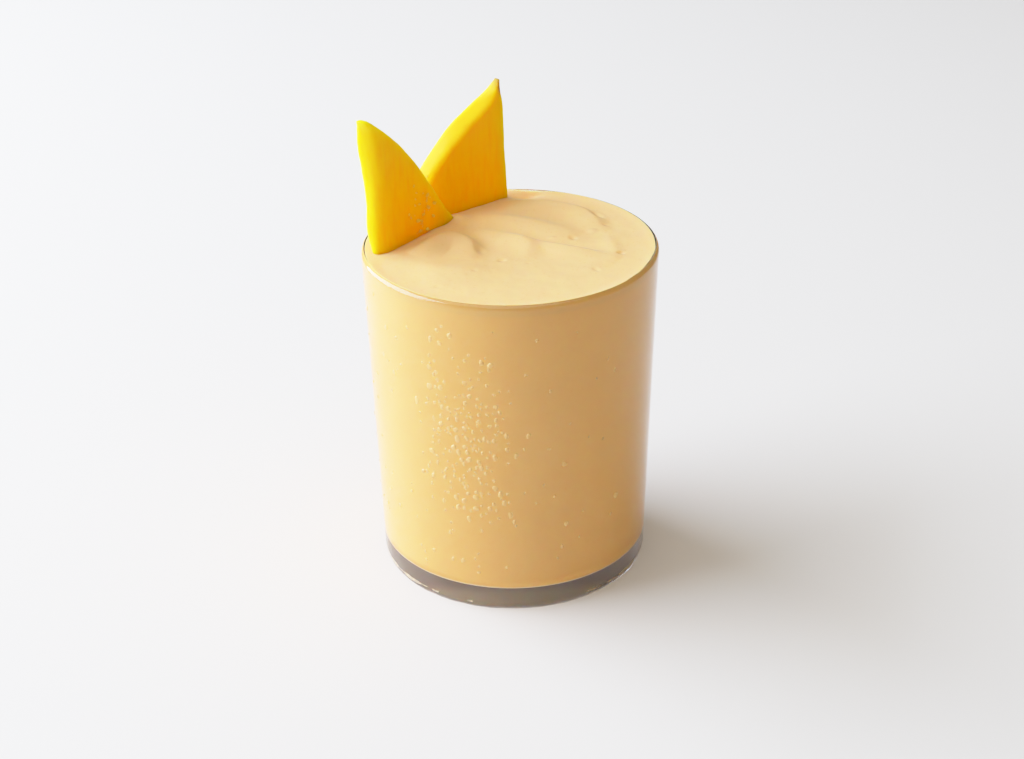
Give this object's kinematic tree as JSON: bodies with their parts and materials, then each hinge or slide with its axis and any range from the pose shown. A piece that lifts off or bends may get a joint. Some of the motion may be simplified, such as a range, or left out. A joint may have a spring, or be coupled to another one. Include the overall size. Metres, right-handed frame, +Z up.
{
  "type": "mango smoothie in a tumbler",
  "caption": "Mango smoothie filling a clear, straight-sided tumbler to the rim, with soft folds in its top and peeled mango slices standing in it.",
  "frame": {"origin": "middle of the tumbler's foot, on the surface that it stands on", "axes": "+Z up through the rim; the picture looks along +Y, with +X to its right and the slices at the back left"},
  "size_m": [0.085, 0.085, 0.14],
  "materials": {
    "glass": "clear and polished",
    "smoothie": "thick and creamy, with a soft gloss",
    "mango": "wet cut fruit"
  },
  "bodies": {
    "root": {"glass": "glass", "smoothie": "smoothie", "mango_slice_left": "mango", "mango_slice_right": "mango"}
  },
  "joints": []
}
